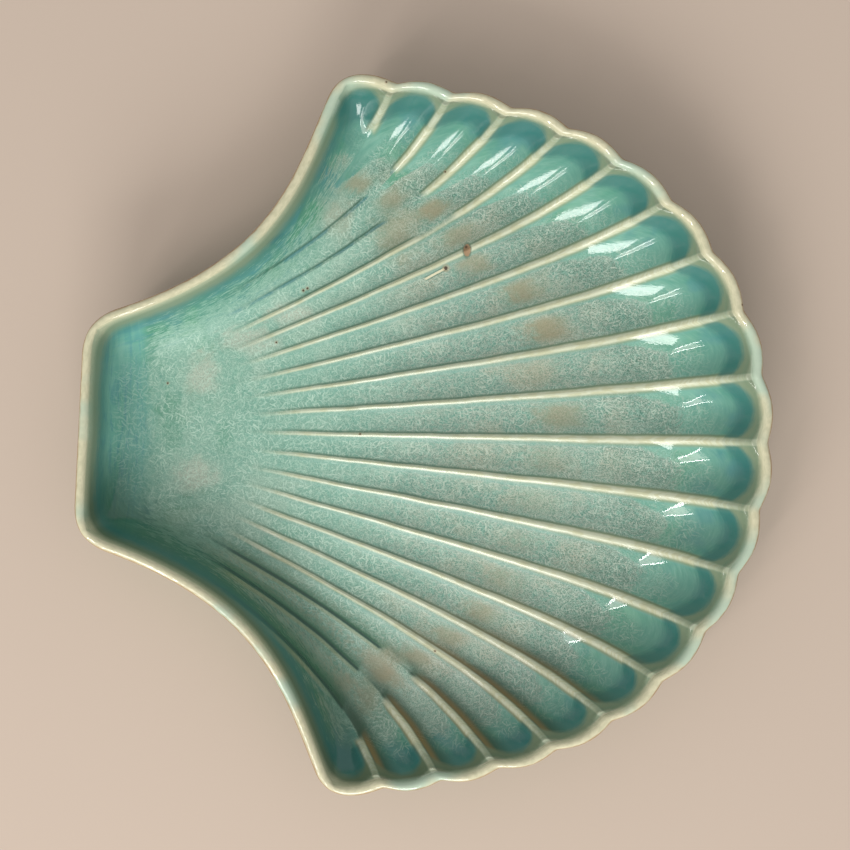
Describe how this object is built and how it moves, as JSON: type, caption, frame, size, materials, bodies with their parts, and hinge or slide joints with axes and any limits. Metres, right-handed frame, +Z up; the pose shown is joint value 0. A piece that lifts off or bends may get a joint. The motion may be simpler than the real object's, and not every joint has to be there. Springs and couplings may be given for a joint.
{
  "type": "shell shaped serving platter",
  "caption": "Glazed ceramic serving platter shaped like a fan shell, with a scalloped rim, raised ribs across its hollow and a low foot ring.",
  "frame": {"origin": "centre of the platter's plan box, on the surface that it stands on", "axes": "+X from the hinge edge towards the fan, +Y across the fan, +Z up out of the hollow"},
  "size_m": [0.2796, 0.2896, 0.038],
  "materials": {
    "glaze": "glossy sea green glaze, breaking to cream on the rim and the ribs"
  },
  "bodies": {
    "root": {"platter": "glaze"}
  },
  "joints": []
}
